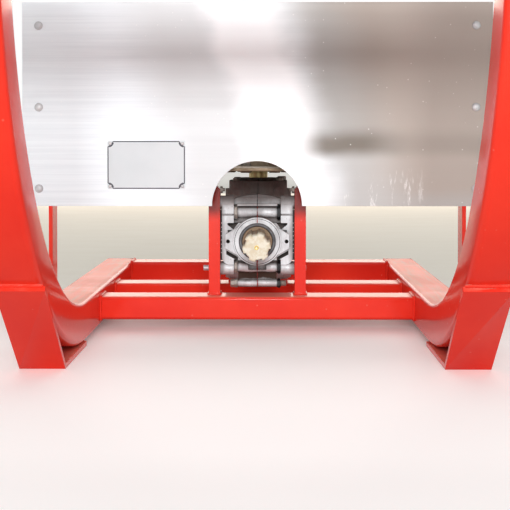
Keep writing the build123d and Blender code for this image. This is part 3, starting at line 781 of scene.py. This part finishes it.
upright = lengths(
    outer=64, boltY=98.5, lowerZ=79, upperZ=166, stud=3.6, sink=0.2,
    longEnd=(7.6, 0.7), shortEnd=(0.8, 0.3),  # length, chamfer
)
sideBolts = []
for sign in (-1, 1):
    for z in (upright["lowerZ"], upright["upperZ"]):
        start = (sign * (upright["outer"] - upright["sink"]), upright["boltY"], z)
        end = "longEnd" if sign < 0 and z == upright["lowerZ"] else "shortEnd"
        sideBolts.append(rod(start, sign * xAxis, upright["stud"], *upright[end]))
makePiece("sideBoltEnds", sideBolts, brightBolt)

cover = lengths(
    centre=(0, 256, 191), screw=31, screwWasher=(0.8, 2.5, 5.6), screwHead=(9, 3.2),
    plug=34, plugWasher=(1, 4, 6.8), plugHead=(11, 5),
) | {"screwTurn": 0.2}
coverScrews = []
for signX, signY in cornerSigns:
    spot = cover["centre"] + cover["screw"] * np.array([signX, signY, 0])
    turned = cover["screwTurn"] * signX
    coverScrews += headOnWasher(spot, zAxis, cover["screwWasher"], *cover["screwHead"], turned)
makePiece("coverScrews", coverScrews, dullBolt)
spot = cover["centre"] + cover["plug"] * xAxis
filler = headOnWasher(spot, zAxis, cover["plugWasher"], *cover["plugHead"])
makePiece("fillerPlug", filler, dullBolt)

postBolt = lengths(x=49, z=182.6, flats=8, head=3.4, tail=3, stud=2.4, pitch=0.8)
postBolts = []
for sign in (-1, 1):
    inwards = -sign * xAxis
    spot = np.array([sign * postBolt["x"], upright["boltY"], postBolt["z"]])
    postBolts.append(hexagon(spot, inwards, postBolt["flats"], postBolt["head"]))
    postBolts.append(threadedRod(spot + inwards * postBolt["head"], inwards, postBolt["tail"],
                                 postBolt["stud"], postBolt["pitch"]))
makePiece("postBolts", postBolts, dullBolt)

# dark rubber pads set in the gap between the casting and the uprights: a dark thing standing in for the
# shade of that gap
shadePads = lengths(
    x=47.5, thick=2.4, y=110, deep=32, z=(89.5, 155.5), round=0.8, firstStud=10, pitch=5.6,
    stud=[(0, 0.3), (0.75, 0.3), (0.75, -0.2), (0.5, -0.6), (0, -0.75)],  # radius, depth
) | {"studs": 8}
padShapes, studShapes = [], []
for sign in (-1, 1):
    foot = np.array([sign * shadePads["x"], shadePads["y"], shadePads["z"][0]])
    line = foot + zAxis * np.linspace(0, shadePads["z"][1] - shadePads["z"][0], 3)[:, None]
    padShapes.append(carry(roundedLoop(shadePads["deep"], shadePads["thick"], shadePads["round"], 4), line, xAxis))
    for k in range(shadePads["studs"]):
        spot = foot + np.array([0, -shadePads["deep"] / 2, shadePads["firstStud"] + k * shadePads["pitch"]])
        studShapes.append(lathe(shadePads["stud"], spot, yAxis, 14))
makePiece("gapShadePads", padShapes, rubber)
makePiece("padStuds", studShapes, brightBolt)
print("gearbox fasteners and pads made")

# dark line turned into the ring's face, and the seal's lip behind it: radius and depth in mm
ringFace = lengths(
    groove=[(29.25, 0.05), (29.7, -0.12), (30.15, 0.05), (29.7, 0.3)],
    lip=[(24.3, 0), (24.3, -1.2), (23.2, -1.7), (22.6, -0.6), (21.2, -0.5), (20.6, -1.3), (20.1, -0.9),
         (20.1, 0.5), (24.3, 0.5)],
    lipBack=2,
)
centre = np.array([0, gearbox["front"], gearbox["axisZ"]])
groove = lathe(ringFace["groove"], centre, yAxis, 96, closed=True)
makePiece("ringGroove", [groove], blackBolt)
lip = lathe(ringFace["lip"], centre + ringFace["lipBack"] * yAxis, yAxis, 72, closed=True)
makePiece("sealLip", [lip], sealFace)

# sealant squeezed out where the casing's two halves meet: each line is a list of (y, z) in mm
seam = lengths(
    radius=0.42, step=0.9, stray=1.05,
    upper=[(83, 139.6), (82.8, 146.6), (90.5, 147.2), (89.4, 152.7), (90.6, 157.5), (94, 160.4)],
    tower=[(94, 160.4), (98, 161.3), (89.8, 161.6), (89.8, 164.6), (98, 164.8), (98, 171), (103, 176.2),
           (203.2, 176.2), (203.2, 191.2), (214, 191.2), (229.3, 191.2), (229.3, 195.2), (241, 195.2)],
    lower=[(82.8, 90.4), (82.8, 83.3), (91, 83.2), (90.2, 80.5), (92, 76.2), (97, 73.8), (104, 73.6),
           (104, 63.6), (97, 62.0), (96, 58.5), (97.6, 54.9), (101, 53.5), (104, 55.8), (208, 55.8)],
) | {
    "strayWindow": 7, "ripple": 0.2, "uneven": 0.35, "unevenWindow": 5, "limits": (0.5, 2.6),
    "lowerSize": 1.55,
}


def seamCord(points, size):
    # round cord whose radius at point k is r size (1 + ripple sin(0.9 k) + noise), and one that is thicker
    # than 1 strays to its sides
    path = resample(standLoop(points, 0, 0), seam["step"])
    count = len(path)
    path[:, 0] += seam["stray"] * (size - 1) * smoothNoise(count, seam["strayWindow"])
    ripple = seam["ripple"] * np.sin(np.arange(count) * 0.9)
    thick = size * (1 + ripple + seam["uneven"] * smoothNoise(count, seam["unevenWindow"]))
    return carry(circleLoop(seam["radius"], 8), path, xAxis, scale=np.clip(thick, *seam["limits"]))


redCords = [seamCord(seam["upper"], 1.0), seamCord(seam["lower"], seam["lowerSize"])]
makePiece("seamSealant", redCords, sealant, sharp=80)
# the seam over the tower is drawn in black rubber instead of red sealant: painted shade there
makePiece("shadedTowerSeam", [seamCord(seam["tower"], 1.0)], rubber, sharp=80)


# centre hole in the shaft's front end, whose profile is (radius, depth) in mm, and disc fasteners

stub = lengths(
    front=-15, hole=[(0, 0.02), (0.6, 0.02), (1.5, -0.05), (2.2, -0.3), (2.9, -0.12), (2.9, 0.6), (0, 0.6)],
)
centreHole = lathe(stub["hole"], (0, stub["front"], gearbox["axisZ"]), yAxis, 32)
makePiece("shaftCentre", [centreHole], brassDot, "input")

disc = lengths(
    centre=(0, 256, 0), top=212, under=208, boltCircle=41, nut=(15, 5.6), head=(13, 5),  # flats, height
) | {"boltCount": 6, "turn": 5}
vaneBolt = lengths(
    reaches=(80, 165), aside=13, foot=3, washer=(1.4, 3.5, 7.5), head=(12, 5.5), tail=(3.4, 3.8), pitch=1.1,
    cap=[(0, 0), (8, 0), (7.4, 1.6), (4.5, 3.2), (0, 3.9)],  # radius, height
) | {"vanes": 4, "turn": 20}
discNuts, discHeads = [], []
for k in range(disc["boltCount"]):
    angle = math.radians(disc["turn"] + k * 360 / disc["boltCount"])
    place = disc["centre"] + disc["boltCircle"] * np.array([math.cos(angle), math.sin(angle), 0])
    discNuts.append(hexagon(place + zAxis * disc["under"], -zAxis, *disc["nut"], angle))
    discHeads.append(hexagon(place + zAxis * disc["top"], zAxis, *disc["head"], angle))
for k in range(vaneBolt["vanes"]):
    angle = math.radians(vaneBolt["turn"] + k * 360 / vaneBolt["vanes"])
    along = np.array([math.cos(angle), math.sin(angle), 0])
    across = np.array([-math.sin(angle), math.cos(angle), 0])
    for reach in vaneBolt["reaches"]:
        place = disc["centre"] + along * reach + across * vaneBolt["aside"]
        seat = place + zAxis * (disc["top"] + vaneBolt["foot"])
        discHeads += headOnWasher(seat, zAxis, vaneBolt["washer"], *vaneBolt["head"], angle)
        tailStart = seat + zAxis * (vaneBolt["washer"][0] + vaneBolt["head"][1])
        discHeads.append(threadedRod(tailStart, zAxis, *vaneBolt["tail"], vaneBolt["pitch"]))
        discNuts.append(lathe(vaneBolt["cap"], place + zAxis * disc["under"], -zAxis, 28))
makePiece("discNuts", discNuts, shadedDiscSteel, "output")
makePiece("discBolts", discHeads, dullBolt, "output")
print("disc fasteners made")


# blank plate on the guard

plate = lengths(
    x=(-191.2, -91.8), z=(185.5, 247), y=41, thick=0.7, corner=2.5, edge=0.2, edgeDepth=0.25, line=1.3,
    lineIn=1.8, lineStep=1.2, notch=6.4, bendStep=0.8, rivetIn=3.4,
    rivet=[(0, 0.3), (2.2, 0.3), (2.2, -0.3), (1.6, -0.9), (0, -1.15)],  # radius, depth
) | {"lineFlat": 0.35, "arc": 8, "bendShare": np.array([1.9, 1.1])}
plateCentre = np.array([sum(plate["x"]) / 2, 0, sum(plate["z"]) / 2])
plateWidth = plate["x"][1] - plate["x"][0]
plateHeight = plate["z"][1] - plate["z"][0]
plateFront = plate["y"] - plate["thick"]


def slab(width, height, corner, near, far, centre):
    # points (loop x, y, loop z) in rows from far to near; the near rim is drawn in, and the first and last
    # rows shrink to the middle
    rows = []
    for inset, size, y in ((0, 0, far), (0, 1, far), (0, 1, near + plate["edgeDepth"]),
                           (plate["edge"], 1, near), (0, 0, near)):
        loop = roundedLoop(width - 2 * inset, height - 2 * inset, corner) * size
        rows.append(standLoop(loop, 1, y) + centre)
    return surface(np.stack(rows))


def notchedLoop(width, height, notch, arc):
    # rectangle with an inward quarter circle at each corner: corner - notch (sin a, cos a)
    turn = np.linspace(0, math.pi / 2, arc)
    points = []
    for k, signs in enumerate(cornerSigns):
        order = turn[::-1] if k % 2 else turn
        bite = notch * np.stack([np.sin(order), np.cos(order)], -1)
        points.append(signs * (np.array([width, height]) / 2 - bite))
    return np.concatenate(points)


face = slab(plateWidth, plateHeight, plate["corner"], plateFront, plate["y"], plateCentre)
makePiece("blankPlate", [face], plateFace)

outline = notchedLoop(plateWidth - plate["lineIn"], plateHeight - plate["lineIn"], plate["notch"],
                      plate["arc"])
border = standLoop(outline, 1, plateFront) + plateCentre
line = np.array([(-1, 1), (1, 1), (1, -1), (-1, -1)]) * (1, plate["lineFlat"]) * (plate["line"] / 2)
inkShapes = [carry(line, resample(border, plate["lineStep"], closed=True), yAxis, closed=True)]
for k in range(len(cornerSigns)):
    bend = border[plate["arc"] * k + 1:plate["arc"] * (k + 1) - 1]
    inkShapes.append(carry(line * plate["bendShare"], resample(bend, plate["bendStep"]), yAxis))
rivets = []
for signs in cornerSigns:
    spot = signs * (np.array([plateWidth, plateHeight]) / 2 - plate["rivetIn"])
    spot = plateCentre + np.array([spot[0], plateFront, spot[1]])
    rivets.append(lathe(plate["rivet"], spot, yAxis, 24))
makePiece("plateBorder", inkShapes, plateInk)
makePiece("plateRivets", rivets, brightBolt)
print("plate made")


# rivets that hold the guard to its stays: a dome of radius r cos(a) at height h sin(a)

guardRivet = lengths(x=279, z=(186, 290, 394), radius=5.5, height=2.4, sink=0.6) | {"rings": 7}
turn = np.linspace(0, math.pi / 2, guardRivet["rings"])
dome = np.stack([guardRivet["radius"] * np.cos(turn), guardRivet["height"] * np.sin(turn)], -1)
dome[-1, 0] = 0
dome = np.concatenate([[(0, -guardRivet["sink"]), (guardRivet["radius"], -guardRivet["sink"])], dome])
rivetShapes = []
for sign in (-1, 1):
    for z in guardRivet["z"]:
        rivetShapes.append(lathe(dome, (sign * guardRivet["x"], plate["y"], z), -yAxis, 28))
makePiece("guardRivets", rivetShapes, brightBolt)
print("guard rivets made")


# linchpins through the hitch pins: a turned shank, whose profile is (radius, height) in mm, and a wire hoop

linchpin = lengths(
    place=385.5, y=-376.9, z=440, hoop=17, hoopDown=2, wire=1.6,
    shank=[(0, -19), (3.5, -17.5), (5.2, -12), (5.2, 12), (7.5, 12.6), (7.5, 17), (6, 19), (0, 19.4)],
) | {"steps": 64}
for side, sign in (("Left", -1), ("Right", 1)):
    at = np.array([sign * linchpin["place"], linchpin["y"], linchpin["z"]])
    shank = lathe(linchpin["shank"], at, zAxis, 28)
    hoop = standLoop(circleLoop(linchpin["hoop"], linchpin["steps"])[:, ::-1], 0, 0)
    hoop = hoop + at - zAxis * linchpin["hoopDown"]
    wire = carry(circleLoop(linchpin["wire"], 10), hoop, xAxis, closed=True)
    makePiece(f"linchpin{side}", [shank, wire], zinc)
print("linchpins made")


# floor, light and camera

def floorMaterial():
    # tints, then spans: from and to in metres, with the strengths there where they aren't 0 and 1
    ground = {
        "front": (0.94, 0.935, 0.92, 1), "behind": (0.88, 0.85, 0.76, 1), "spot": (0.84, 0.80, 0.70, 1),
        "behindZone": (-0.2, 0.9), "fade": (2.5, 8.0, 0.0, 0.4), "nearLift": (-0.3, 0.5, 0.27, 0.0),
        "sideLift": (0.9, 2.4, 0.0, 0.27), "frontLift": (-3.4, -1.8, 0.4, 0.0),
    }
    material, g, shader, place = newMaterial(
        "paleFloor", Roughness=0.9, Specular_IOR_Level=0.1, Emission_Color=(1, 0.98, 0.95, 1)
    )
    axes = g.parts(place)
    wide, along = g.maths("ABSOLUTE", axes[0]), axes[1]
    spots = placed(g, "patches", g.stretched(place, (1.0, 2.5, 1.0)), Scale=5.0, Contrast=0.2)
    behind = g.mixed(g.product(spots, 0.5), ground["behind"], ground["spot"])
    g.feed(shader, "Base Color", g.mixed(g.span(along, *ground["behindZone"]), ground["front"], behind))
    g.feed(shader, "Normal", placed(g, "grain", place, Scale=160.0, Strength=0.15))
    # far away the floor fades into the pale backdrop
    reach = g.add("VectorMath", {"operation": "LENGTH"})
    g.feed(reach, 0, place)
    far = g.span(reach.outputs["Value"], *ground["fade"])
    # what the camera and mirrors see in front is lifted towards white, and lights nothing
    rays = g.add("LightPath").outputs
    seen = g.largest(rays["Is Camera Ray"], rays["Is Glossy Ray"], rays["Is Transmission Ray"])
    lift = g.largest(g.span(along, *ground["nearLift"]), g.span(wide, *ground["sideLift"]))
    lift = g.product(seen, g.maths("ADD", lift, g.span(along, *ground["frontLift"])))
    g.feed(shader, "Emission Strength", g.maths("ADD", far, lift))
    return material


floorReach = 30  # metres each way
floorMesh = bpy.data.meshes.new("floor")
floorCorners = [(x * floorReach, y * floorReach, 0) for x, y in cornerSigns.tolist()]
floorMesh.from_pydata(floorCorners, [], [(0, 1, 2, 3)])
floor = bpy.data.objects.new("floor", floorMesh)
scene.collection.objects.link(floor)
floorMesh.materials.append(floorMaterial())

# the world lights the object softly, and looks white to the camera
studio = {  # colour, strength
    "lit": ((0.97, 0.985, 1, 1), 0.32), "mirrored": ((1, 1, 1, 1), 0.85), "shown": ((1, 1, 1, 1), 1.0),
}
world = bpy.data.worlds.new("paleStudio")
scene.world = world
world.use_nodes = True
world.node_tree.nodes.clear()
w = Graph(world.node_tree)
rays = w.add("LightPath").outputs
sky = {name: w.add("Background", Color=row[0], Strength=row[1]).outputs[0] for name, row in studio.items()}
light = sky["lit"]
for ray, other in (("Is Glossy Ray", "mirrored"), ("Is Camera Ray", "shown")):
    mix = w.add("MixShader")
    for index, socket in enumerate((rays[ray], light, sky[other])):
        w.feed(mix, index, socket)
    light = mix.outputs[0]
w.add("OutputWorld", Surface=light)


def areaLight(name, place, target, size, power, colour):
    # rectangular lamp at its place, turned towards its target and unseen by the camera
    lamp = bpy.data.lights.new(name, "AREA")
    lamp.shape = "RECTANGLE"
    lamp.size, lamp.size_y = size
    lamp.energy = power
    lamp.color = colour
    holder = bpy.data.objects.new(name, lamp)
    scene.collection.objects.link(holder)
    holder.location = place
    holder.rotation_euler = (Vector(target) - Vector(place)).to_track_quat("-Z", "Y").to_euler()
    holder.visible_camera = False


lights = {  # place, target, width and height, power, colour
    "keyLight": ((0.04, -3.76, 1.135), (0, 0.1, 0.1), (1.1, 0.7), 84, (0.97, 0.985, 1)),
    "topLight": ((0, 2.2, 3.6), (0, 0.5, 0), (5, 1.6), 45, (1, 1, 1)),
    "backLight": ((0, 4.6, 1.08), (0, 0.3, 0), (5, 1.4), 62, (1, 0.85, 0.72)),
    "frontLight": ((0, -3.8, 0.55), (0, 0, 0.25), (6, 1.0), 14, (1, 1, 1)),
}
for name, row in lights.items():
    areaLight(name, *row)

view = {  # metres and degrees
    "lens": 85.55, "sensor": 36, "place": (0.014, -1.506, 0.239), "down": 1.08, "yaw": 0.66,
    "shift": (0.002, -0.1667), "clip": 0.01,
}
cameraData = bpy.data.cameras.new("camera")
cameraData.lens = view["lens"]
cameraData.sensor_width = view["sensor"]
cameraData.shift_x, cameraData.shift_y = view["shift"]
cameraData.clip_start = view["clip"]
camera = bpy.data.objects.new("camera", cameraData)
scene.collection.objects.link(camera)
camera.location = view["place"]
camera.rotation_euler = (math.radians(90 - view["down"]), 0, math.radians(view["yaw"]))
scene.camera = camera
print("floor, light and camera set")
